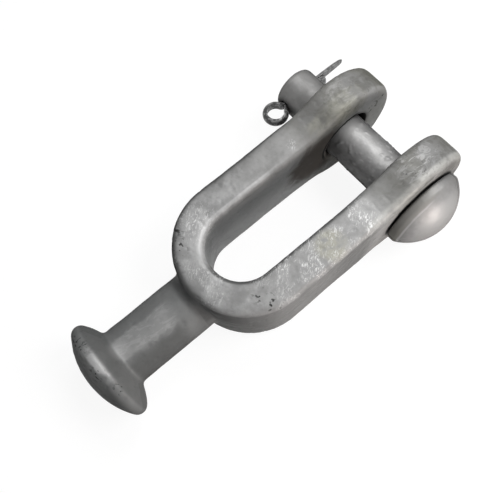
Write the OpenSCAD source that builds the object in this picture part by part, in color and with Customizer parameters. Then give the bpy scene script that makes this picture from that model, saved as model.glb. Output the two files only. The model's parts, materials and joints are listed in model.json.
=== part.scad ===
// Ball clevis: a forged U-shaped fork with a coupling ball on its shank,
// closed by a loose round-headed pin that a split pin keeps in place.
// It lies flat: X runs along the clevis pin, Y from the ball to the eyes, Z up.
// The origin is on the axis of the eye bores, midway between the two eyes.

/* [Fork] */
// Clear width between the two legs
fork_gap = 22; // [16:0.5:34]
// Thickness of a leg at its parting line
leg_t = 12.4; // [10:0.2:18]
// Depth of a leg, across the plane of the fork
leg_w = 30.6; // [22:0.2:38]
// Length of a leg from the bore axis to the start of the bend
leg_len = 56; // [36:1:120]
// Thickness at the foot of the bend
bend_t = 10.8; // [10:0.2:18]
// Forging draft on the sides of the legs, in degrees
leg_draft = 1.4; // [0:0.2:5]
// Rounding along the edges of the forging
edge_r = 2.2; // [1:0.1:4]

/* [Eyes] */
// Diameter of the eye at the end of each leg
eye_d = 40.4; // [38.4:0.2:52]
// Thickness of an eye between its flat faces
eye_t = 12; // [9:0.5:16]
// Hollow radius where a leg widens into its eye
eye_blend_r = 24; // [10:1:40]
// Width of the broken edge round each end of a bore
bore_chamfer = 1; // [0.4:0.1:1.6]

/* [Ball and shank] */
// Diameter of the coupling ball
ball_d = 33.9; // [30:0.1:44]
// Height of the ball from crown to crown
ball_h = 14; // [10:0.2:18]
// Rounding of the rim of the ball
ball_rim_r = 2.6; // [1:0.1:3.6]
// Diameter of the shank
shank_d = 19.5; // [14:0.5:22]
// Length from the foot of the bend to the middle of the ball
shank_len = 33; // [20:0.2:80]
// Hollow radius where the shank runs into the bend
shank_blend_r = 3.8; // [2:0.1:5]
// Hollow radius where the shank leaves the ball
neck_r = 1.5; // [0.6:0.1:3]

/* [Clevis pin] */
// Diameter of the clevis pin
pin_d = 16; // [12:0.5:18]
// Play all round the pin in the bores of the eyes
pin_clear = 1; // [0.4:0.1:1.5]
// Gap left under the pin where it lies in its bores
pin_seat_gap = 0.15; // [0.1:0.01:0.25]
// Place where the pin lies in its bores, degrees from straight down, opposite ways in the two eyes
pin_seat_angle = 15; // [0:1:60]
// Length of the pin beyond the outer face of the far eye
pin_tail = 16; // [13:0.1:30]
// Rounding of the end of the pin
pin_end_r = 1.8; // [0.5:0.1:2.4]
// Smallest gap between the head and the near eye
head_gap = 0.35; // [0.2:0.05:4]
// Diameter of the head
head_d = 29; // [23:0.5:36]
// Broken edge under the head
head_edge = 0.4; // [0.2:0.1:0.8]
// Height of the straight rim of the head
head_rim = 2.7; // [1:0.1:6]
// Height of the dome on the head
head_dome = 8.4; // [3:0.2:11]

/* [Split pin] */
// Diameter of the two closed legs together
split_d = 3.6; // [2:0.1:4]
// Slit between the flat sides of the two legs
split_slit = 0.2; // [0.1:0.05:0.4]
// Play all round the split pin in its cross hole
split_clear = 0.25; // [0.15:0.05:0.5]
// Width of the broken edge at each end of the cross hole
split_chamfer = 0.7; // [0.3:0.1:1]
// Distance from the end of the clevis pin to the cross hole
split_from_end = 4.6; // [4.4:0.1:8]
// Inner radius of the ring
split_ring_r = 3.1; // [2.6:0.1:6]
// Length of the straight leg beyond the clevis pin
split_leg = 12.4; // [5:0.2:24]
// Length of the leg that is folded down, after its fold
split_folded = 5.5; // [2:0.5:12]
// Turn of the folded leg, in degrees
split_fold = 104; // [60:1:120]

/* [Hidden] */
$fn = 96;

// Fork
fork_in_r = fork_gap / 2;
leg_x = fork_in_r + leg_t / 2;
foot_r = fork_in_r + bend_t;
foot_y = -leg_len - foot_r;

// Eyes
eye_r = eye_d / 2;
// The inner faces of the eyes line up with the gap of the fork
eye_in_x = fork_in_r;
eye_out_x = eye_in_x + eye_t;
eye_x = (eye_in_x + eye_out_x) / 2;
bore_d = pin_d + 2 * pin_clear;
blend_z = leg_w / 2 + eye_blend_r;
blend_y = -sqrt(pow(eye_r + eye_blend_r, 2) - pow(blend_z, 2));
round_y = blend_y * eye_r / (eye_r + eye_blend_r);
// The sides are flat round the bore, and take up their draft over one leg thickness
flat_share = 0.75;
flat_y = -flat_share * eye_r;
drafted_y = flat_y - leg_t;
leg_top_y = min(blend_y, drafted_y) - edge_r / 4;
// Angle round the eye where its tip is closed, and the most of a half depth that an edge takes
tip_a = 87;
edge_share = 0.96;

// Ball and shank, the ball a lens of two equal domes with a rounded rim
ball_r = ball_d / 2;
ball_y = foot_y - shank_len;
shank_r = shank_d / 2;
rim_x = ball_r - ball_rim_r;
dome_h = ball_h / 2;
dome_r = (pow(rim_x, 2) + pow(dome_h, 2) - pow(ball_rim_r, 2)) / (2 * (dome_h - ball_rim_r));
dome_off = dome_r - dome_h;
dome_a = atan2(dome_off, rim_x);
neck_y = sqrt(pow(dome_r + neck_r, 2) - pow(shank_r + neck_r, 2)) - dome_off;
neck_a = atan2(neck_y + dome_off, shank_r + neck_r);
// The blend is sunk a little below the faces it joins, so that they cross cleanly,
// and its ends close on a core inside the shank and the bend
blend_sink = shank_blend_r / 10;
blend_core_r = 0.75 * shank_r;
// Least slope of the bend under the blend, which keeps the blend low where the bend runs level
level_slope = 0.02;
// The shank is sunk into the bend by this much
shank_sink = bend_t / 3;

// Clevis pin, low in its bores and leaning across their play
pin_r = pin_d / 2;
pin_play = pin_clear - pin_seat_gap;
pin_drop = pin_play * cos(pin_seat_angle);
pin_lean = atan2(pin_play * sin(pin_seat_angle), eye_out_x);
pin_end_x = -eye_out_x - pin_tail;
head_r = head_d / 2;
head_x = eye_out_x + head_gap + head_r * tan(pin_lean);
crown_r = (pow(head_r, 2) + pow(head_dome, 2)) / (2 * head_dome);

// Split pin, half-round wire with its flat side inwards; its bends are multiples of the wire,
// and each leg narrows to a share of it at the tip
wire_w = split_d / 2;
slit_x = split_slit / 2;
wire_t = wire_w - slit_x;
cross_hole_r = wire_w + split_clear;
split_x = pin_end_x + split_from_end;
waist_bend = 1.3;
waist_r = waist_bend * wire_t;
waist_x = slit_x + waist_r;
waist_y = sqrt(pow(split_ring_r + waist_r, 2) - pow(waist_x, 2));
waist_a = asin(waist_x / (split_ring_r + waist_r));
fold_bend = 1.3;
fold_r = fold_bend * wire_w;
tip_share = 0.5;
exit_y = waist_y + 2 * pin_r - split_chamfer;

// Steps along curves
arc_steps = 10;
edge_steps = 5;
eye_steps = 13;
blend_steps = 5;
bend_steps = 26;
shank_sides = 40;
wire_steps = 6;
ring_steps = 32;

function mix(a, b, k) = a + (b - a) * k;
function ease(k) = k <= 0 ? 0 : k >= 1 ? 1 : k * k * (3 - 2 * k);
function arc(x, y, r, from, to, n = arc_steps) =
    [for (i = [0 : n]) let (a = mix(from, to, i / n)) [x + r * cos(a), y + r * sin(a)]];

// Skin over a row of rings that all have the same number of points, closed at both ends
module skin(rings) {
    n = len(rings);
    m = len(rings[0]);
    points = [for (ring = rings) each ring];
    first = [for (j = [0 : m - 1]) j];
    last = [for (j = [m : -1 : 1]) (n - 1) * m + j % m];
    sides = [for (i = [0 : n - 2], j = [0 : m - 1])
        let (k = (j + 1) % m, a = i * m, b = a + m)
        each [[a + j, b + j, b + k], [a + j, b + k, a + k]]];
    polyhedron(points, concat([first], sides, [last]));
}

// Half depth of a leg and its eye at y, seen from the side, with the outline moved in by d
function half_depth(y, d) =
    y < blend_y ? leg_w / 2 - d
    : y < blend_y * (eye_r - d) / (eye_r + eye_blend_r)
        ? blend_z - sqrt(pow(eye_blend_r + d, 2) - pow(y - blend_y, 2))
    : sqrt(max(pow(eye_r - d, 2) - y * y, 0));

// One section of the fork: half thickness t, draft share, half depth w, edge rounding et by ew
function section(t, draft, w, et, ew) =
    let (top = t - draft * tan(leg_draft) * (w - ew))
    concat(
        [[t, 0]],
        [for (i = [0 : edge_steps]) let (a = 90 * i / edge_steps)
            [top - et + et * cos(a), w - ew + ew * sin(a)]],
        [for (i = [0 : edge_steps]) let (a = 90 + 90 * i / edge_steps)
            [et - top + et * cos(a), w - ew + ew * sin(a)]],
        [[-t, 0]],
        [for (i = [0 : edge_steps]) let (a = 180 + 90 * i / edge_steps)
            [et - top + et * cos(a), ew - w + ew * sin(a)]],
        [for (i = [0 : edge_steps]) let (a = 270 + 90 * i / edge_steps)
            [top - et + et * cos(a), ew - w + ew * sin(a)]]);

// Ring of points of a leg or its eye at y, side 1 for the near leg and -1 for the far one
function leg_ring(y, side) =
    let (flat = ease((y - drafted_y) / (flat_y - drafted_y)))
    let (full_t = mix(leg_t, eye_t, flat) / 2, x = mix(leg_x, eye_x, flat))
    let (past = max(y - (eye_r - edge_r), 0))
    let (et = sqrt(max(edge_r * edge_r - past * past, 0)))
    let (w = half_depth(y, 0))
    let (ew = min(w - half_depth(y, edge_r), edge_share * w))
    [for (p = section(full_t - edge_r + et, 1 - flat, w, et, ew)) [side * (x + p[0]), y, p[1]]];

// Ring of points of the bend at the angle a, from the near leg round to the far one
function bend_ring(a) =
    let (t = mix(leg_t, bend_t, sin(a)) / 2)
    let (r = fork_in_r + t)
    [for (p = section(t, 1, leg_w / 2, edge_r, edge_r))
        [(r + p[0]) * cos(a), -leg_len - (r + p[0]) * sin(a), p[1]]];

// Places along a leg from the tip of its eye down to the straight run
round_a = asin(round_y / eye_r);
blend_a = asin((round_y - blend_y) / eye_blend_r);
leg_places = concat(
    [for (i = [0 : eye_steps]) eye_r * sin(mix(tip_a, round_a, i / eye_steps))],
    [for (i = [1 : blend_steps]) blend_y + eye_blend_r * sin(blend_a * (1 - i / blend_steps))],
    [for (i = [1 : blend_steps]) mix(blend_y, leg_top_y, i / blend_steps)]);

// Both legs and the bend, one forging drawn as a loft along the U
module fork() {
    skin(concat(
        [for (y = leg_places) leg_ring(y, 1)],
        [for (i = [0 : bend_steps]) bend_ring(180 * i / bend_steps)],
        [for (i = [len(leg_places) - 1 : -1 : 0]) leg_ring(leg_places[i], -1)]));
}

// Hollow blend from the round shank on to the outside of the bend
module shank_blend() {
    r0 = shank_r - blend_sink / 2;
    mid = r0 + shank_blend_r;
    turns = [for (j = [0 : shank_sides - 1]) -360 * j / shank_sides];
    reach = [for (a = turns) foot_r / max(pow(cos(a), 2), level_slope)];
    span = [for (r = reach) r - blend_sink + shank_blend_r];
    start_y = foot_y - 2 * shank_blend_r;
    end_y = foot_y + bend_t / 2;
    skin(concat(
        [[for (a = turns) [blend_core_r * cos(a), start_y, blend_core_r * sin(a)]]],
        [for (i = [0 : blend_steps]) [for (j = [0 : shank_sides - 1])
            let (turn = acos(mid / span[j]) * i / blend_steps)
            let (y = foot_y + reach[j] - sqrt(pow(span[j], 2) - mid * mid))
            let (r = mid - shank_blend_r * cos(turn))
            [r * cos(turns[j]), y + shank_blend_r * sin(turn), r * sin(turns[j])]]],
        [[for (a = turns) [blend_core_r * cos(a), end_y, blend_core_r * sin(a)]]]));
}

// Ball and shank, turned about the Y axis
module ball_and_shank() {
    outline = concat(
        arc(0, dome_off, dome_r, -90, -dome_a),
        arc(rim_x, 0, ball_rim_r, -dome_a, dome_a),
        arc(0, -dome_off, dome_r, dome_a, neck_a),
        arc(shank_r + neck_r, neck_y, neck_r, 180 + neck_a, 180),
        [[shank_r, shank_len + shank_sink], [0, shank_len + shank_sink]]);
    translate([0, ball_y, 0]) rotate([-90, 0, 0]) rotate_extrude() polygon(outline);
}

// Bore along Z between two faces, with the edge at each end broken
module bore(r, from, to, edge) {
    rotate_extrude() polygon([
        [0, from - edge], [r + 2 * edge, from - edge], [r, from + edge],
        [r, to - edge], [r + 2 * edge, to + edge], [0, to + edge]]);
}

module eye_bore() {
    rotate([0, 90, 0]) bore(bore_d / 2, eye_in_x, eye_out_x, bore_chamfer);
}

module ball_clevis() {
    color([0.60, 0.61, 0.60])
    difference() {
        union() {
            fork();
            shank_blend();
            ball_and_shank();
        }
        eye_bore();
        mirror([1, 0, 0]) eye_bore();
    }
}

// Lays what is drawn about the X axis in the eye bores
module in_bores() {
    translate([0, 0, -pin_drop]) rotate([0, 0, pin_lean]) children();
}

// Headed pin, turned about its own axis, with the cross hole for the split pin
module clevis_pin() {
    outline = concat(
        [[0, pin_end_x]],
        arc(pin_r - pin_end_r, pin_end_x + pin_end_r, pin_end_r, -90, 0, edge_steps),
        [[pin_r, head_x], [head_r - head_edge, head_x], [head_r, head_x + head_edge]],
        arc(0, head_x + head_rim + head_dome - crown_r, crown_r, asin(1 - head_dome / crown_r), 90));
    color([0.66, 0.66, 0.65])
    in_bores()
    difference() {
        rotate([0, 90, 0]) rotate_extrude() polygon(outline);
        translate([split_x, 0, 0]) rotate([90, 0, 0])
            bore(cross_hole_r, -pin_r, pin_r, split_chamfer);
    }
}

// Half-round ring of the wire at a place on its flat side: in is the way that the flat side
// faces, up the way across it, and k the share of the full size
function wire_ring(place, in, up, k = 1) =
    [for (i = [0 : wire_steps]) let (a = 90 + 180 * i / wire_steps)
        place + k * wire_t * cos(a) * in + k * wire_w * sin(a) * up];

module split_pin() {
    up = [0, 0, 1];
    tip_y = exit_y + split_leg;
    straight = [
        wire_ring([-slit_x, tip_y, 0], [1, 0, 0], up, tip_share),
        wire_ring([-slit_x, tip_y - wire_w, 0], [1, 0, 0], up)];
    waist_in = [for (i = [0 : wire_steps])
        let (a = mix(0, waist_a - 90, i / wire_steps), out = [cos(a), sin(a), 0])
        wire_ring([-waist_x, waist_y, 0] + waist_r * out, out, up)];
    ring = [for (i = [1 : ring_steps - 1])
        let (a = mix(90 + waist_a, 450 - waist_a, i / ring_steps), out = [cos(a), sin(a), 0])
        wire_ring(split_ring_r * out, -out, up)];
    waist_out = [for (i = [0 : wire_steps])
        let (a = mix(270 - waist_a, 180, i / wire_steps), out = [cos(a), sin(a), 0])
        wire_ring([waist_x, waist_y, 0] + waist_r * out, out, up)];
    fold = [for (i = [0 : wire_steps])
        let (a = split_fold * i / wire_steps, out = [0, sin(a), cos(a)])
        wire_ring([slit_x, exit_y, -fold_r] + fold_r * out, [-1, 0, 0], out)];
    out = [0, sin(split_fold), cos(split_fold)];
    along = [0, cos(split_fold), -sin(split_fold)];
    folded = [slit_x, exit_y, -fold_r] + fold_r * out + split_folded * along;
    folded_tip = [
        wire_ring(folded - wire_w * along, [-1, 0, 0], out),
        wire_ring(folded, [-1, 0, 0], out, tip_share)];
    color([0.17, 0.17, 0.17])
    in_bores()
    translate([split_x, split_chamfer - pin_r - waist_y, 0])
    skin(concat(straight, waist_in, ring, waist_out, fold, folded_tip));
}

ball_clevis();
clevis_pin();
split_pin();
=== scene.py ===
"""Ball clevis: the hot-dip galvanised finish of its forging, clevis pin and split pin, on a pale floor."""

import json
from math import atan2, radians

import bpy
from bpy.props import FloatProperty, FloatVectorProperty, IntProperty, PointerProperty
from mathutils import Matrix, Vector

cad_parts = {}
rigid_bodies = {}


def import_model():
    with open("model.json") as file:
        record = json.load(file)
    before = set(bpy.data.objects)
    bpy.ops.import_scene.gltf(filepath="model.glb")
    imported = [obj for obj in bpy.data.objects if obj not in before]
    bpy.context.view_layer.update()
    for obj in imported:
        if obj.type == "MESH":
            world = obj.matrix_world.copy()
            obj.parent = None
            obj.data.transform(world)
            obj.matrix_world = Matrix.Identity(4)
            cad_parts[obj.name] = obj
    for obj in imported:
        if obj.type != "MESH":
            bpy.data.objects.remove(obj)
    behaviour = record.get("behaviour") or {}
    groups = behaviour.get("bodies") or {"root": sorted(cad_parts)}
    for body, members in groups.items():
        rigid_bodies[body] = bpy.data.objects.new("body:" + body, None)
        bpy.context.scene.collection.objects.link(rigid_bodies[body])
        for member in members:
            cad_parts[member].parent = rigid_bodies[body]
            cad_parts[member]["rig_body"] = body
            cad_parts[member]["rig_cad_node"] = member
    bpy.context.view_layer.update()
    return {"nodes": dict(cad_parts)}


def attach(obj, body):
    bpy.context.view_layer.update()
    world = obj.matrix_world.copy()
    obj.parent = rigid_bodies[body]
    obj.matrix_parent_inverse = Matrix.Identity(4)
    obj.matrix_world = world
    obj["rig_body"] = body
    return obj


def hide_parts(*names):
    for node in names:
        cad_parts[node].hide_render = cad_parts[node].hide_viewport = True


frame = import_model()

bl_info = {
    "name": "Ball clevis finish",
    "version": (1, 0, 0),
    "blender": (4, 5, 0),
    "location": "3D View > Sidebar > Clevis",
    "description": "Dresses a ball clevis in galvanised zinc and sets it on a pale floor",
    "category": "Object",
}

MM = 0.001
MERGE_GAP = 0.001 * MM

# Middle of the bend's arc, and the end of the fork beyond it
BEND_Y = -56 * MM
FORK_END_Y = -79.5 * MM

# Levels of the noise between which lumps and pits grow to their full height
LUMP_LEVELS = (0.62, 0.8)
PIT_LEVELS = (0.66, 0.8)

# Dark tint of the mirrored light, which keeps a pale veil off surfaces seen at a slant
DARK_TINT = (0.05, 0.05, 0.05, 1)

# Pitted spots of the forging and how far each reaches, in millimetres
PITTED = (
    ((20, -60.9, 14.8), 5), ((16, -62, 15.3), 4), ((-12, -71, 15), 5), ((-17, -68, 15), 4),
    ((1, -67.5, 15.2), 3.5),
    ((10, -110, 13.4), 3), ((3, -112.6, 15.9), 4), ((-6, -111, 15.5), 3), ((-9, -112, 13), 5),
    ((-11, 11, 6), 3.5), ((-11, 13.7, 8.6), 3.5), ((-12.2, 6.4, 18.9), 3), ((17, -3.4, 19.9), 3.5),
    ((12.6, -2.8, 19.6), 3),
)

# Spots of bright strokes off the near leg and how far each reaches, in millimetres
BRIGHT = (((-14.6, -62, 15.3), 9), ((-15, -22.5, 15.3), 2.5))


# Properties

def length(name, description, default):
    """A size in metres that a user may change."""
    return FloatProperty(
        name=name, description=description, default=default, min=0, unit="LENGTH", precision=5)


def colour(name, description, default):
    """A colour that a user may change."""
    return FloatVectorProperty(
        name=name, description=description, default=default, min=0, max=1, size=3, subtype="COLOR")


def pass_count(name, description, default):
    """A number of passes that a user may change."""
    return IntProperty(name=name, description=description, default=default, min=0)


def power(name, description, default):
    """Power of a lamp that a user may change."""
    return FloatProperty(name=name, description=description, default=default, unit="POWER")


class ForgingFinish(bpy.types.PropertyGroup):
    """Skin and zinc of the forged fork with its shank and ball."""

    skin_step: length("Skin step", "Spacing of the points over the skin", 0.515 * MM)
    smooth_passes: pass_count("Smoothing", "Passes that soften the skin", 6)
    edge_passes: pass_count("Edge wear", "Passes that round the outer edges", 60)
    wave_size: length("Wave size", "Width of the broad unevenness left by forging", 15 * MM)
    wave_height: length("Wave height", "Height of the broad unevenness", 0.4 * MM)
    dimple_size: length("Dimple size", "Width of the small dents under the zinc", 5 * MM)
    dimple_height: length("Dimple height", "Height of the small dents", 0.1 * MM)
    lump_size: length("Lump size", "Width of the zinc lumps", 3 * MM)
    lump_height: length("Lump height", "Height of the zinc lumps", 0.07 * MM)
    pit_size: length("Pit size", "Width of the pits", 1.7 * MM)
    pit_depth: length("Pit depth", "Depth of the pits", 0.2 * MM)
    zinc: colour("Zinc", "Main colour of the zinc", (0.265, 0.266, 0.265))
    pale: colour("Pale zinc", "Colour of the lighter clouds", (0.43, 0.431, 0.43))
    # Dull zinc also serves as painted shade on the near leg's outer wall and the far leg's upper inner wall,
    # and partly on the shank and ball
    dull_and_shade: colour("Dull zinc", "Colour of the duller zinc on the shank and ball", (0.156, 0.16, 0.159))
    # The eyes' darker zinc is partly painted shade
    eye: colour("Zinc of the eyes", "Colour of the darker zinc about the eyes", (0.206, 0.205, 0.2))
    olive: colour("Olive zinc", "Tint of the clouds about the eyes", (0.215, 0.212, 0.18))
    dark_olive: colour("Dark olive zinc", "Darkest tint of the eyes and their ends", (0.11, 0.109, 0.091))
    # The rubbed zinc outside the near eye is partly painted light
    rubbed_and_lit: colour("Rubbed zinc", "Colour of the rubbed edge outside the near eye", (0.48, 0.478, 0.455))
    straw: colour("Straw zinc", "Tint of the tarnish on the near leg and the far eye", (0.36, 0.355, 0.3))
    fleck: colour("Flecks", "Colour of bare bright zinc on lumps and scuffs", (0.7, 0.7, 0.7))
    # Grime also serves as painted shade on edges, the shank's side, the ball, the crease, the bores and under
    # the head
    grime_and_shade: colour("Grime", "Colour of the pits and creases", (0.035, 0.035, 0.034))
    # The brown stain is a painted shadow of the pin
    painted_shadow: colour("Stain", "Brown tint beside the pin", (0.085, 0.074, 0.065))
    bore_rim: colour("Rim of the bore", "Paler brown round the far bore", (0.15, 0.136, 0.122))


class PinFinish(bpy.types.PropertyGroup):
    """Skin and zinc of the clevis pin."""

    skin_step: length("Skin step", "Spacing of the points over the skin", 0.4 * MM)
    smooth_passes: pass_count("Smoothing", "Passes that soften the skin", 5)
    wave_size: length("Wave size", "Width of the unevenness of the zinc", 7 * MM)
    wave_height: length("Wave height", "Height of the unevenness of the zinc", 0.1 * MM)
    lump_size: length("Lump size", "Width of the zinc lumps", 2 * MM)
    lump_height: length("Lump height", "Height of the zinc lumps", 0.25 * MM)
    zinc: colour("Zinc", "Main colour of the zinc", (0.185, 0.184, 0.183))
    pale: colour("Pale zinc", "Colour of the lighter clouds", (0.3, 0.298, 0.296))
    # Dull zinc also serves as painted shade on the lower side of the head's rim
    dull_and_shade: colour("Dull zinc", "Colour of the rim of the head and the end of the pin", (0.185, 0.181, 0.168))
    # Flecks also serve as the painted highlight along the top of the pin and the painted light on the head
    fleck: colour("Flecks", "Colour of bare bright zinc on lumps", (0.6, 0.595, 0.59))
    # Grime here is painted shade under the head
    grime_and_shade: colour("Grime", "Colour under the head", (0.035, 0.035, 0.034))


class WireFinish(bpy.types.PropertyGroup):
    """Edges and colour of the split pin."""

    edge_round: length("Edge rounding", "Rounding of the edges of the half-round wire", 0.16 * MM)
    steel: colour("Dark steel", "Colour of the dark wire", (0.06, 0.06, 0.06))
    worn: colour("Worn steel", "Colour where the dark skin is worn off", (0.34, 0.34, 0.34))


class StageSetup(bpy.types.PropertyGroup):
    """Floor, lamps and camera."""

    floor: colour("Floor", "Colour of the floor where it is seen", (0.13, 0.13, 0.13))
    bounce: colour("Bounce", "Colour of the floor in the light that it throws back", (0.7, 0.7, 0.7))
    floor_size: length("Floor size", "Width of the floor", 6.0)
    floor_lift: FloatProperty(
        name="Floor lift", description="White added to the floor where it is seen", default=0.91)
    floor_glow: FloatProperty(
        name="Floor glow", description="Light that the floor adds from below", default=0.3)
    ambient: FloatProperty(name="Ambient", description="Light from overhead all round", default=0.16, min=0)
    key_power: power("Key", "Power of the soft box above", 1.45)
    rear_power: power("Rear", "Power of the soft box behind", 1.0)
    side_power: power("Side", "Power of the warm lamp at the side", 0.16)
    warm: colour("Warm lamp", "Colour of the lamp at the side", (1.0, 0.9, 0.85))
    camera_place: FloatVectorProperty(
        name="Camera place", description="Place of the camera", subtype="TRANSLATION", unit="LENGTH",
        default=(49.46 * MM, -85.32 * MM, 181.14 * MM))
    camera_turn: FloatVectorProperty(
        name="Camera turn", description="Turn of the camera", subtype="EULER",
        default=(radians(18.6), radians(3.216), radians(49.984)))
    camera_lens: FloatProperty(name="Lens", description="Focal length in millimetres", default=42.48, min=1)


# Shader maths

class Field:
    """A socket of a node tree that takes part in Python expressions."""

    def __init__(self, tree, socket=None):
        self.tree = tree
        self.socket = socket

    def add(self, kind, settings=None, inputs=None, out=0):
        """Adds a node, sets it up, feeds its sockets with values or fields, and gives one of its outputs."""
        node = self.tree.nodes.new(kind)
        for name, value in (settings or {}).items():
            setattr(node, name, value)
        for name, value in (inputs or {}).items():
            socket = node.inputs[name]
            if isinstance(value, Field):
                self.tree.links.new(value.socket, socket)
            elif socket.type == "RGBA":
                socket.default_value = (*value, 1)
            else:
                socket.default_value = value
        return Field(self.tree, node.outputs[out] if node.outputs else None)

    def maths(self, operation, *values):
        """Adds a Math node."""
        return self.add("ShaderNodeMath", {"operation": operation}, dict(enumerate(values)))

    def __add__(self, other):
        return self.maths("ADD", self, other)

    def __sub__(self, other):
        return self.maths("SUBTRACT", self, other)

    def __rsub__(self, other):
        return self.maths("SUBTRACT", other, self)

    def __mul__(self, other):
        return self.maths("MULTIPLY", self, other)

    __radd__ = __add__
    __rmul__ = __mul__

    def most(self, other):
        """The larger of two values."""
        return self.maths("MAXIMUM", self, other)

    def least(self, other):
        """The smaller of two values."""
        return self.maths("MINIMUM", self, other)

    def root(self):
        """The square root."""
        return self.maths("SQRT", self)

    def rise(self, low, high):
        """Goes smoothly from 0 at low to 1 at high, which may also lie below low."""
        return self.add(
            "ShaderNodeMapRange", {"interpolation_type": "SMOOTHSTEP"},
            {"Value": self, "From Min": low, "From Max": high})

    def band(self, low, high, soft):
        """1 between low and high, with soft ends."""
        return self.rise(low - soft, low) * self.rise(high + soft, high)

    def mix(self, first, second):
        """Colour that goes from first to second as this value goes from 0 to 1."""
        return self.add("ShaderNodeMix", {"data_type": "RGBA"}, {0: self, 6: first, 7: second}, 2)

    def noise(self, size, detail=2.0, roughness=0.5, distortion=0.0):
        """Noise over this place, with clouds of a given size."""
        return self.add(
            "ShaderNodeTexNoise", None,
            {"Vector": self, "Scale": 1 / size, "Detail": detail,
             "Roughness": roughness, "Distortion": distortion})

    def turned(self, turn, scale):
        """This place, turned and stretched."""
        return self.add(
            "ShaderNodeMapping", {"vector_type": "TEXTURE"},
            {"Vector": self, "Rotation": turn, "Scale": scale})

    def away(self, centre, along=(1, 1, 1)):
        """Distance of this place from a centre, counted only along the axes that are marked 1."""
        flat = self.add("ShaderNodeVectorMath", {"operation": "MULTIPLY"}, {0: self, 1: along})
        return self.add("ShaderNodeVectorMath", {"operation": "DISTANCE"}, {0: flat, 1: centre}, 1)

    def near(self, centre, reach):
        """1 at a centre, falling smoothly to 0 at a distance."""
        return self.away(centre).rise(reach, 0)


class Finish:
    """A new material with its place on the piece at hand and a shader to fill in."""

    def __init__(self, name):
        self.material = bpy.data.materials.new(name)
        self.material.use_nodes = True
        tree = self.material.node_tree
        self.shader = tree.nodes["Principled BSDF"]
        self.place = Field(tree).add("ShaderNodeTexCoord", out=3)
        parts = self.place.add("ShaderNodeSeparateXYZ", None, {"Vector": self.place})
        self.x, self.y, self.z = (Field(tree, s) for s in parts.socket.node.outputs)

    def feed(self, **values):
        """Links fields to the shader's sockets and sets plain values on them."""
        for name, value in values.items():
            socket = self.shader.inputs[name.replace("_", " ")]
            if isinstance(value, Field):
                self.place.tree.links.new(value.socket, socket)
            else:
                socket.default_value = value

    def relief(self, height, distance, strength=1.0):
        """Bump from a height field, which spans a distance."""
        self.feed(Normal=height.add(
            "ShaderNodeBump", None, {"Height": height, "Distance": distance, "Strength": strength}))


# Modelling

def copy_of_node(context, node, name):
    """Copies a node's mesh to a new piece and merges its loose triangles."""
    bpy.ops.object.select_all(action="DESELECT")
    source = frame["nodes"][node]
    source.select_set(True)
    context.view_layer.objects.active = source
    bpy.ops.object.duplicate()
    piece = context.view_layer.objects.active
    bpy.ops.object.parent_clear(type="CLEAR_KEEP_TRANSFORM")
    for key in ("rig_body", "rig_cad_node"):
        del piece[key]
    piece.name = piece.data.name = name
    piece.data.materials.clear()
    bpy.ops.object.mode_set(mode="EDIT")
    bpy.ops.mesh.select_all(action="SELECT")
    bpy.ops.mesh.customdata_custom_splitnormals_clear()
    bpy.ops.mesh.remove_doubles(threshold=MERGE_GAP)
    bpy.ops.object.mode_set(mode="OBJECT")
    return piece


def modify(piece, kind, **settings):
    """Adds a modifier to the active piece, sets it up and applies it."""
    bpy.ops.object.modifier_add(type=kind)
    modifier = piece.modifiers[-1]
    for key, value in settings.items():
        setattr(modifier, key, value)
    bpy.ops.object.modifier_apply(modifier=modifier.name)


def reskin(piece, step, passes):
    """Covers a piece with an even skin of small faces and softens it."""
    modify(piece, "REMESH", mode="VOXEL", voxel_size=step, use_smooth_shade=True)
    modify(piece, "SMOOTH", factor=0.5, iterations=passes)


def raise_noise(piece, name, size, height, peaks=None, group=""):
    """Moves the skin by a cloud noise of a given size and height; peaks keeps what lies above a level."""
    texture = bpy.data.textures.new(name, "CLOUDS")
    texture.noise_scale = size
    texture.noise_depth = 2
    if peaks:
        texture.use_color_ramp = True
        for stop, level, shade in zip(texture.color_ramp.elements, peaks, (0, 1)):
            stop.position = level
            stop.color = (shade, shade, shade, 1)
    modify(piece, "DISPLACE", texture=texture, texture_coords="LOCAL", strength=height,
           mid_level=0 if peaks else 0.5, vertex_group=group)


def weigh(piece, name, weight):
    """Gives each point a weight from a function of its place, in a vertex group."""
    group = piece.vertex_groups.new(name=name)
    for vertex in piece.data.vertices:
        group.add([vertex.index], weight(vertex.co), "REPLACE")
    return group.name


def put_on(piece, material, node, body):
    """Gives a piece its material, and lets it stand for a node on its body."""
    piece.data.materials.append(material)
    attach(piece, body)
    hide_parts(node)


def clamp(value):
    """Keeps a value from 0 to 1."""
    return min(max(value, 0), 1)


# Materials

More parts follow.
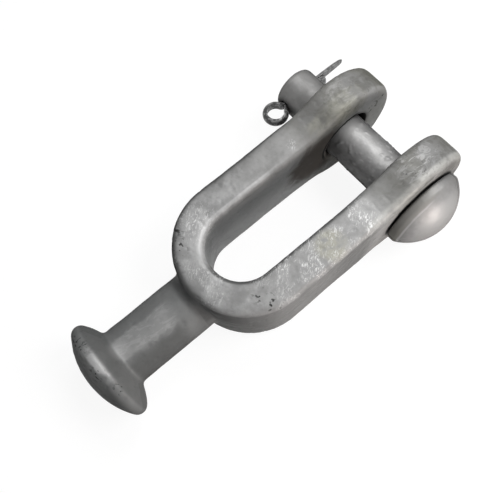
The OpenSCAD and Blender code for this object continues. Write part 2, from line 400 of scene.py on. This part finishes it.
def forged_zinc(look):
    """Cloudy galvanised zinc over a forging, duller on the shank and ball, with scuffs, pits and grime, and
    with painted shade and painted light in places.
    """
    made = Finish("forged_zinc")
    place, x, y, z = made.place, made.x, made.y, made.z
    broad = place.noise(15 * MM, 2)
    clouds = place.noise(6 * MM, 3, 0.5, 0.6)
    grain = place.noise(1.2 * MM, 3, 0.6)
    top = z.rise(11.5 * MM, 14.8 * MM)
    far = x.rise(0, -10 * MM)
    # Distance from the line that the U of the fork is drawn about,
    # and the same with the thinner foot evened out
    foot_reach = 21.8 * MM
    foot_thinning = 1.6 * MM
    foot = (y - BEND_Y).least(0)
    girth = (x * x + foot * foot).root()
    outer = (girth - foot * (foot_thinning / foot_reach)) * y.rise(FORK_END_Y, FORK_END_Y + 1 * MM)

    # Clouds of paler zinc, which hardly show on the near leg's outer wall and between the legs
    cloudy = top.most(z.rise(-11 * MM, -14 * MM)).most(x.rise(-16 * MM, -20 * MM))
    mottle = (clouds * 0.5 + grain * 0.2 + broad * 0.3 - 0.5) * (cloudy * 0.8 + 0.2) + 0.5
    base = mottle.rise(0.36, 0.64).mix(look.zinc, look.pale)
    # Painted shade: the tops grow greyer along the bend and towards the far eye
    greyer = (1 - far) * y.rise(-76 * MM, -56 * MM) * 0.3 + far * y.rise(-60 * MM, -30 * MM) * 0.6
    base = (greyer * top).mix(base, look.eye)

    # Painted shade makes the near leg's outer wall darker, and painted light makes the outer wall of the foot
    # paler
    wall = outer.rise(22.2 * MM, 23 * MM)
    below_edge = z.rise(14.4 * MM, 12 * MM)
    outer_wall = wall * x.rise(3 * MM, 9 * MM) * y.rise(-16 * MM, -26 * MM)
    wall_shade = y.rise(-46 * MM, -30 * MM) * 0.25 + y.rise(-58 * MM, -68 * MM) * 0.3 + 0.47
    base = (outer_wall * below_edge * wall_shade).mix(base, look.dull_and_shade)
    foot_wall = wall * x.band(-8 * MM, 3 * MM, 5 * MM) * y.rise(-70 * MM, -75 * MM)
    base = (foot_wall * below_edge * 0.5).mix(base, look.pale)

    # Painted shade darkens the edges that face away from the eyes and from the near side,
    # and the inner wall's upper part
    far_edge = (outer - foot * 0.1).rise(18.6 * MM, 20.2 * MM) * x.rise(4 * MM, -8 * MM)
    near_edge = girth.rise(13 * MM, 12.2 * MM) * x.rise(-5 * MM, 2 * MM) * y.rise(-12 * MM, -22 * MM)
    foot_edge = outer.rise(21.3 * MM, 22 * MM) * x.band(-10 * MM, 12 * MM, 6 * MM)
    foot_edge = foot_edge * y.rise(-62 * MM, -68 * MM)
    far_edge = far_edge * z.rise(15.3 * MM, 14.6 * MM) * y.rise(-14 * MM, -22 * MM)
    edges = far_edge.most(near_edge) * z.rise(9.5 * MM, 12.5 * MM)
    edges = edges.most(foot_edge * z.rise(4 * MM, 9 * MM) * 0.15)
    base = (edges * (clouds * 0.4 + 0.5)).mix(base, look.grime_and_shade)
    inner_wall = girth.rise(14 * MM, 12.5 * MM) * far * y.rise(-14 * MM, -24 * MM)
    base = (inner_wall * z.rise(-4 * MM, 6 * MM) * z.rise(14 * MM, 12.5 * MM) * 0.4).mix(base, look.dull_and_shade)

    # The eyes are darker, partly darker zinc and partly painted shade, with a pale cloud on top of each,
    # and olive towards the end and the edges
    eyes = (y - (1 - far) * (4 * MM)).rise(-25 * MM, -5 * MM)
    flake = place.noise(4.5 * MM, 4, 0.6, 0.9)
    near_eye_top = place.near((17 * MM, 1 * MM, 20 * MM), 13 * MM)
    far_eye_top = place.near((-17 * MM, 0, 20 * MM), 12 * MM)
    cloud = (near_eye_top * 0.7).most(far_eye_top * 0.4)
    base = (eyes * (1.1 - clouds.rise(0.35, 0.65) * 0.5)).mix(base, look.eye)
    base = (eyes * (1 - cloud) * broad.rise(0.4, 0.6) * 0.5).mix(base, look.olive)
    base = (y.rise(7 * MM, 17 * MM) * z.rise(4 * MM, 11 * MM) * (far * 0.5 + 0.3)).mix(base, look.dark_olive)
    # Painted light on the far eye's inner face past the pin, towards the end of the eye
    far_face = x.band(-12 * MM, -9 * MM, 1 * MM)
    base = (far_face * y.rise(2 * MM, 9 * MM) * 0.4).mix(base, look.pale)
    inner_top = x.band(-16 * MM, -11.5 * MM, 1.5 * MM) * y.band(-13 * MM, 3 * MM, 5 * MM) * top
    base = (inner_top * clouds.rise(0.3, 0.6) * 0.5).mix(base, look.straw)
    near_eye_root = place.near((17 * MM, -10 * MM, 18 * MM), 10 * MM)
    base = (near_eye_root * 0.3).mix(base, look.olive)
    base = (y.band(-21 * MM, -12 * MM, 5 * MM) * (1 - far) * top * 0.22).mix(base, look.pale)
    flakes = eyes * top * flake.rise(0.44, 0.6) * (cloud * 0.8 + 0.06)
    smudge = place.turned((0, 0, radians(80)), (2.2, 0.8, 1)).noise(2.2 * MM, 3, 0.6, 1.2).rise(0.5, 0.6)
    smear = smudge * cloud * top
    base = (flakes * 0.55).mix(base, look.pale)
    base = (eyes * top * flake.rise(0.5, 0.38) * 0.3).mix(base, look.dark_olive)
    base = (smear * (0.5 - far * 0.2)).mix(base, look.fleck)
    outline = eyes * flake.band(0.5, 0.506, 0.02) * grain.rise(0.5, 0.6) * cloud

    # Edges rubbed light inside the far leg, and painted light with rubbed zinc on the edge outside the near
    # eye
    inner_edge = girth.band(12.2 * MM, 12.8 * MM, 0.5 * MM) * z.rise(12.5 * MM, 14 * MM)
    inner_edge = inner_edge * far * y.rise(-26 * MM, -40 * MM)
    outer_edge = x.band(21 * MM, 22.2 * MM, 1.2 * MM) * z.rise(4 * MM, 9 * MM) * y.rise(-30 * MM, -20 * MM)
    base = (inner_edge * (clouds * 0.4 + 0.05)).mix(base, look.fleck)
    base = (outer_edge * clouds.rise(0.3, 0.6) * (grain * 0.5 + 0.3)).mix(base, look.rubbed_and_lit)

    # The shank and the ball are duller, partly duller zinc and partly painted shade, with a ragged paler
    # stripe along the shank and a paler rim on the ball, partly zinc and partly painted light
    dull_and_shade = y.rise(-75 * MM, -80 * MM)
    shank = y.rise(-106 * MM, -103.5 * MM) * y.rise(-82 * MM, -88 * MM)
    ragged = x + (clouds - 0.5) * (5 * MM)
    stripe = shank * ragged.band(-2.5 * MM, 3.5 * MM, 1.5 * MM) * z.rise(4 * MM, 7 * MM)
    rim = y.band(-111.2 * MM, -109.8 * MM, 1.2 * MM) * x.band(-2 * MM, 5 * MM, 5 * MM)
    rim = rim * z.rise(7 * MM, 12 * MM) * clouds.rise(0.3, 0.6)
    face = y.rise(-111.5 * MM, -113.5 * MM)
    lighter = (stripe * 0.38).most(rim).most(face * 0.35)
    base = (dull_and_shade * (1 - lighter - clouds * 0.25).most(0)).mix(base, look.dull_and_shade)
    base = (stripe * smudge * 0.22).mix(base, look.pale)
    # Painted reflection on the neck by the ball, and painted highlight on the ball's rim
    neck = place.near((-0.5 * MM, -104 * MM, 9.7 * MM), 4.5 * MM)
    base = (dull_and_shade * rim * 0.25).most(neck * 0.5).mix(base, look.pale)
    # Painted shade on the shank's right side, on the cone of the ball and towards the lower right of its end
    # face
    shade = (shank * ragged.rise(3.5 * MM, 6.5 * MM)).most(y.band(-109 * MM, -105.5 * MM, 1 * MM) * 0.85)
    shade = (shade * 0.4).most(face * (clouds * 0.6 - 0.24 + x.rise(5 * MM, 11 * MM) * 0.25))
    base = shade.mix(base, look.grime_and_shade)

    # Strokes of bright zinc on top of the near leg and, fewer, on the bend
    slanted = place.turned((0, 0, radians(130)), (1.7, 0.7, 1))
    strokes = slanted.noise(1.1 * MM, 4, 0.65, 1.6).rise(0.53, 0.6)
    near_leg = y.band(-52 * MM, -24 * MM, 8 * MM) * x.rise(9.5 * MM, 13 * MM) * top
    bend = y.band(-76 * MM, -52 * MM, 4 * MM) * top
    bright = strokes * (near_leg * clouds.rise(0.42, 0.6)).most(bend * broad.rise(0.5, 0.58) * 0.45)
    for spot, reach in BRIGHT:
        bright = (strokes * place.near([side * MM for side in spot], reach * MM)).most(bright)
    tarnish = place.near((18 * MM, -36 * MM, 15 * MM), 8 * MM).rise(0.1, 0.6) * clouds.rise(0.35, 0.55)
    # Painted light: the near leg's top is made paler
    base = (near_leg * 0.15).mix(base, look.pale)
    base = (tarnish * 0.7).mix(base, look.straw)
    base = (bright * 0.85).mix(base, look.fleck)

    # Dark pits and scuffs: most near the foot of the bend and on the rim of the ball, a few at the eyes
    pitted = 0.05
    for spot, reach in PITTED:
        pitted = place.near([side * MM for side in spot], reach * MM).most(pitted)
    scuff = place.turned((0, 0, radians(25)), (1.3, 0.9, 1)).noise(1.4 * MM, 2)
    pits = (scuff.rise(0.58, 0.63) * pitted).most(outline * 0.7)

    # Grime and painted shade in the crease between the bend and the shank, painted shade in the bores and
    # under the head of the pin
    crease = girth.band(21.7 * MM, 23.6 * MM, 1.6 * MM) * y.rise(-67 * MM, -74 * MM)
    crease = crease * z.band(4.5 * MM, 11.5 * MM, 2.2 * MM) * x.rise(-10 * MM, -3 * MM)
    bore = place.away((0, 0, 0), (0, 1, 1))
    inside = bore.rise(9.8 * MM, 9.3 * MM) * y.rise(-8 * MM, -3 * MM)
    above = far_face * bore.rise(11.1 * MM, 10.5 * MM)
    above = above * y.band(-7 * MM, 3 * MM, 3 * MM) * z.rise(2 * MM, 6 * MM)
    under = bore.rise(15 * MM, 13 * MM) * x.rise(22.4 * MM, 22.8 * MM)
    dirt_and_shade = (crease * (clouds * 0.5 + 0.02)).most(inside).most(above * 0.9).most(under * 0.9)

    # Brown painted shadow of the pin on the inside of the far eye, paler round the bore, with a dark line
    # round the bore
    beside_pin = place.near((-11.5 * MM, -14 * MM, 2 * MM), 22 * MM)
    shadow_beside_pin = (beside_pin + (clouds - 0.5) * 0.6).rise(0.2, 0.65) * x.band(-14 * MM, -9 * MM, 1.5 * MM)
    base = (shadow_beside_pin * 0.88).mix(base, bore.rise(11.5 * MM, 10.8 * MM).mix(look.painted_shadow, look.bore_rim))
    line = far_face * bore.band(10.8 * MM, 11.4 * MM, 0.4 * MM)
    line = line * y.rise(6 * MM, 1 * MM) * z.rise(-7 * MM, -2 * MM)
    base = pits.most(dirt_and_shade).most(line).mix(base, look.grime_and_shade)

    made.feed(
        Base_Color=base,
        Metallic=0.12,
        Roughness=0.48 - clouds * 0.14 - bright * 0.1 + pits.most(dirt_and_shade) * 0.25,
        Specular_IOR_Level=0.0,
        Specular_Tint=DARK_TINT,
    )
    made.relief(clouds * 0.5 + grain * 0.2 + bright * 0.4 + flakes * 0.3 - pits * 0.7, 0.2 * MM, 0.35)
    return made.material


def pin_zinc(look):
    """Smoother galvanised zinc of the clevis pin, with a few lumps, a painted highlight along its top and
    painted shade under the head.
    """
    made = Finish("pin_zinc")
    place, x, y, z = made.place, made.x, made.y, made.z
    clouds = place.noise(7 * MM, 2, 0.5, 0.5)
    grain = place.noise(1.2 * MM, 3, 0.6)
    dome = x.rise(27 * MM, 33 * MM)
    base = (clouds * 0.6 + grain * 0.2 + dome * 0.4).rise(0.3, 0.7).mix(look.zinc, look.pale)
    # The end beyond the far eye and the rim of the head are duller, with painted shade on the rim's lower
    # side
    uneven = x + (clouds - 0.5) * (0.6 * MM)
    rim = x.rise(23 * MM, 23.4 * MM) * uneven.rise(27.6 * MM, 26.9 * MM)
    rim = rim * (y.rise(6 * MM, -6 * MM) * 0.85 + 0.1)
    base = rim.most(x.rise(-22 * MM, -26 * MM) * 0.2).mix(base, look.dull_and_shade)

    # Lumps on top of the stem, rubbed zinc with a painted highlight along its top and painted light at its
    # far end, and a paler dome with painted light on its edge and the top of the head
    lumps = place.noise(1.8 * MM, 2, 0.5, 0.5).rise(0.58, 0.68)
    lumps = lumps * place.near((2 * MM, 1 * MM, 8 * MM), 11 * MM)
    rubbed_and_lit = x.band(-11 * MM, 9 * MM, 3 * MM).most(x.rise(-23 * MM, -27 * MM) * 0.3)
    rubbed_and_lit = rubbed_and_lit * z.rise(5.5 * MM, 7.1 * MM) * (clouds * 0.6 + grain * 0.6)
    far_end = x.band(-13 * MM, -9 * MM, 4 * MM) * z.rise(5 * MM, 7.2 * MM) * 0.45
    base = (lumps * 0.4).most(rubbed_and_lit * 0.48).most(far_end).most(dome * 0.28).mix(base, look.fleck)
    arris = uneven.band(27.5 * MM, 27.7 * MM, 0.4 * MM) * y.rise(2 * MM, -5 * MM)
    head_top = x.rise(23.6 * MM, 25 * MM) * z.rise(2 * MM, 10 * MM)
    base = (arris * 0.3).most(head_top * 0.12).mix(base, look.fleck)

    # Painted shade under the head
    radius = place.away((0, 0, 0), (0, 1, 1))
    under = radius.rise(8.6 * MM, 9.2 * MM) * x.rise(23.9 * MM, 23.6 * MM)
    base = under.mix(base, look.grime_and_shade)
    made.feed(
        Base_Color=base,
        Metallic=0.5,
        Roughness=0.46 + grain * 0.12 - clouds * 0.08 - lumps * 0.1 + rim * 0.12,
        Specular_IOR_Level=0.0,
        Specular_Tint=DARK_TINT,
    )
    made.relief(clouds * 0.5 + grain * 0.3 + lumps * 0.4, 0.1 * MM, 0.35)
    return made.material


def wire_steel(look):
    """Dark steel wire, worn to grey in patches, most of them on its straight leg."""
    made = Finish("wire_steel")
    place, y = made.place, made.y
    patches = place.noise(1.6 * MM, 3, 0.6, 0.4)
    leg = y.rise(2 * MM, 8 * MM)
    worn = patches.rise(0.48, 0.58) * 0.6 * (1 - leg) + leg * patches.rise(0.35, 0.55) * 0.55
    made.feed(
        Base_Color=worn.mix(look.steel, look.worn),
        Metallic=0.5,
        Roughness=0.28 + patches * 0.2,
        Specular_IOR_Level=0.5,
    )
    made.relief(patches, 0.08 * MM, 0.5)
    return made.material


# Operators

class CLEVIS_OT_forging(bpy.types.Operator):
    """Makes the forged fork with its shank and ball: an uneven skin of zinc over the forging"""

    bl_idname = "clevis.forging"
    bl_label = "Forging"

    def execute(self, context):
        look = context.scene.clevis_forging
        piece = copy_of_node(context, "ball_clevis", "forging")
        reskin(piece, look.skin_step, look.smooth_passes)
        outer_edges = weigh(piece, "outer_edges", self.outer_edge)
        modify(piece, "SMOOTH", factor=0.5, iterations=look.edge_passes, vertex_group=outer_edges)
        outside_bores = weigh(piece, "outside_bores", self.outside_bore)
        raise_noise(piece, "forging_waves", look.wave_size, look.wave_height, group=outside_bores)
        raise_noise(piece, "forging_dimples", look.dimple_size, look.dimple_height, group=outside_bores)
        raise_noise(piece, "zinc_lumps", look.lump_size, look.lump_height, LUMP_LEVELS, outside_bores)
        raise_noise(piece, "zinc_pits", look.pit_size, -look.pit_depth, PIT_LEVELS, outside_bores)
        put_on(piece, forged_zinc(look), "ball_clevis", "fork")
        return {"FINISHED"}

    @staticmethod
    def outer_edge(place):
        """Weight of the worn outer edges of the far leg, the bend, the shank and the ball."""
        girth = Vector((place.x, min(place.y - BEND_Y, 0))).length
        outside = clamp((girth - 16 * MM) / (2 * MM)) * clamp((abs(place.z) - 8 * MM) / (2 * MM))
        return outside * clamp((12 * MM - place.x) / (8 * MM)) * clamp((-24 * MM - place.y) / (8 * MM))

    @staticmethod
    def outside_bore(place):
        """Weight of the skin outside the bores, which stay smooth."""
        return clamp((Vector((place.y, place.z)).length - 10 * MM) / (2 * MM))


class CLEVIS_OT_pin(bpy.types.Operator):
    """Makes the round-headed clevis pin with its cross hole"""

    bl_idname = "clevis.pin"
    bl_label = "Clevis pin"

    def execute(self, context):
        look = context.scene.clevis_pin
        piece = copy_of_node(context, "clevis_pin", "pin")
        reskin(piece, look.skin_step, look.smooth_passes)
        clear_of_eyes = weigh(piece, "clear_of_eyes", lambda p: 0.2 if abs(p.x) > 10 * MM else 1)
        raise_noise(piece, "pin_waves", look.wave_size, look.wave_height, group=clear_of_eyes)
        raise_noise(piece, "pin_lumps", look.lump_size, look.lump_height, LUMP_LEVELS, clear_of_eyes)
        put_on(piece, pin_zinc(look), "clevis_pin", "pin")
        return {"FINISHED"}


class CLEVIS_OT_split_pin(bpy.types.Operator):
    """Makes the split pin of half-round wire"""

    bl_idname = "clevis.split_pin"
    bl_label = "Split pin"

    def execute(self, context):
        look = context.scene.clevis_wire
        piece = copy_of_node(context, "split_pin", "cotter")
        bpy.ops.object.mode_set(mode="EDIT")
        bpy.ops.mesh.select_all(action="SELECT")
        bpy.ops.mesh.tris_convert_to_quads()
        bpy.ops.object.mode_set(mode="OBJECT")
        modify(piece, "BEVEL", width=look.edge_round, segments=3,
               limit_method="ANGLE", angle_limit=radians(50))
        modify(piece, "SUBSURF", levels=2, render_levels=2)
        bpy.ops.object.shade_smooth()
        put_on(piece, wire_steel(look), "split_pin", "pin")
        return {"FINISHED"}


class CLEVIS_OT_stage(bpy.types.Operator):
    """Sets the pale floor, the lamps, the surroundings and the camera"""

    bl_idname = "clevis.stage"
    bl_label = "Stage"

    def execute(self, context):
        look = context.scene.clevis_stage
        self.lay_floor(context, look)
        self.hang_lamps(context, look)
        self.set_surroundings(context, look)
        self.set_camera(context, look)
        context.scene.view_settings.view_transform = "Standard"
        return {"FINISHED"}

    @staticmethod
    def seen(tree):
        """1 for rays that the camera sees, straight, mirrored or through glass."""
        rays = Field(tree).add("ShaderNodeLightPath").socket.node.outputs
        kinds = ("Camera", "Glossy", "Transmission")
        camera, glossy, through = (Field(tree, rays[f"Is {kind} Ray"]) for kind in kinds)
        return camera.most(glossy).most(through)

    def lay_floor(self, context, look):
        """Lays the floor under the eyes and the ball, on which the fork comes to rest."""
        points = [v.co for v in frame["nodes"]["ball_clevis"].data.vertices]
        eye = min((p for p in points if p.y > -30 * MM), key=lambda p: p.z)
        ball = min((p for p in points if p.y < -100 * MM), key=lambda p: p.z)
        tilt = atan2(eye.z - ball.z, eye.y - ball.y)
        bpy.ops.object.select_all(action="DESELECT")
        bpy.ops.mesh.primitive_plane_add(
            size=look.floor_size, location=(0, eye.y, eye.z), rotation=(tilt, 0, 0))
        floor = context.object
        floor.name = "floor"
        material = bpy.data.materials.new("pale_floor")
        material.use_nodes = True
        tree = material.node_tree
        tree.nodes.clear()
        seen = self.seen(tree)
        matt = seen.add("ShaderNodeBsdfDiffuse", None, {"Color": seen.mix(look.bounce, look.floor)})
        strength = seen * (look.floor_lift - look.floor_glow) + look.floor_glow
        glow = seen.add("ShaderNodeEmission", None, {"Color": (1, 1, 1), "Strength": strength})
        both = seen.add("ShaderNodeAddShader", None, {0: matt, 1: glow})
        seen.add("ShaderNodeOutputMaterial", None, {"Surface": both})
        floor.data.materials.append(material)

    def hang_lamps(self, context, look):
        """Hangs two soft boxes above and behind, and a small warm lamp low at the side."""
        lamps = (
            ("soft_box", (0.34, 0.42, 0.84), 0.5, 0.24, look.key_power, (1, 1, 1)),
            ("rear_box", (-0.22, 0.42, 0.88), 0.5, 0.2, look.rear_power, (1, 1, 1)),
            ("side_lamp", (0.98, 0.16, 0.16), 0.2, 0.08, look.side_power, look.warm),
        )
        middle = Vector((4 * MM, -36 * MM, 0))
        for name, way, distance, size, power, shade in lamps:
            way = Vector(way).normalized()
            bpy.ops.object.light_add(
                type="AREA", location=middle + way * distance,
                rotation=way.to_track_quat("Z", "Y").to_euler())
            lamp = context.object
            lamp.name = name
            lamp.visible_camera = False
            lamp.data.shape = "DISK"
            lamp.data.size = size
            lamp.data.energy = power
            lamp.data.color = shade

    def set_surroundings(self, context, look):
        """White where it is seen, and a soft light from overhead on the object."""
        world = bpy.data.worlds.new("surroundings")
        context.scene.world = world
        world.use_nodes = True
        tree = world.node_tree
        tree.nodes.clear()
        seen = self.seen(tree)
        way = seen.add("ShaderNodeTexCoord")
        parts = seen.add("ShaderNodeSeparateXYZ", None, {"Vector": way})
        height = Field(tree, parts.socket.node.outputs["Z"])
        overhead = height.rise(0.05, 0.9) * look.ambient
        light = seen.add(
            "ShaderNodeBackground", None, {"Color": (1, 1, 1), "Strength": seen + (1 - seen) * overhead})
        seen.add("ShaderNodeOutputWorld", None, {"Surface": light})

    def set_camera(self, context, look):
        """Looks down on the clevis as it lies."""
        bpy.ops.object.camera_add(location=look.camera_place, rotation=look.camera_turn)
        camera = context.object
        camera.name = "camera"
        camera.data.lens = look.camera_lens
        camera.data.clip_start = 1 * MM
        context.scene.camera = camera


class CLEVIS_PT_panel(bpy.types.Panel):
    """Lists the pieces of the ball clevis and their finish"""

    bl_idname = "CLEVIS_PT_panel"
    bl_label = "Ball clevis"
    bl_space_type = "VIEW_3D"
    bl_region_type = "UI"
    bl_category = "Clevis"

    def draw(self, context):
        for operator, group in STEPS:
            box = self.layout.box()
            box.operator(operator.bl_idname)
            look = getattr(context.scene, group)
            for name in look.__annotations__:
                box.prop(look, name)


GROUPS = {
    "clevis_forging": ForgingFinish,
    "clevis_pin": PinFinish,
    "clevis_wire": WireFinish,
    "clevis_stage": StageSetup,
}
STEPS = tuple(zip((CLEVIS_OT_forging, CLEVIS_OT_pin, CLEVIS_OT_split_pin, CLEVIS_OT_stage), GROUPS))
CLASSES = (*GROUPS.values(), *(operator for operator, _ in STEPS), CLEVIS_PT_panel)


def register():
    """Registers the classes and hangs the properties on the scene."""
    for cls in CLASSES:
        bpy.utils.register_class(cls)
    for name, group in GROUPS.items():
        setattr(bpy.types.Scene, name, PointerProperty(type=group))


def unregister():
    """Takes the properties and the classes away again."""
    for name in GROUPS:
        delattr(bpy.types.Scene, name)
    for cls in reversed(CLASSES):
        bpy.utils.unregister_class(cls)


def main():
    """Makes the pieces and the stage."""
    register()
    bpy.ops.clevis.stage()
    bpy.ops.clevis.forging()
    bpy.ops.clevis.pin()
    bpy.ops.clevis.split_pin()


if __name__ == "__main__":
    main()
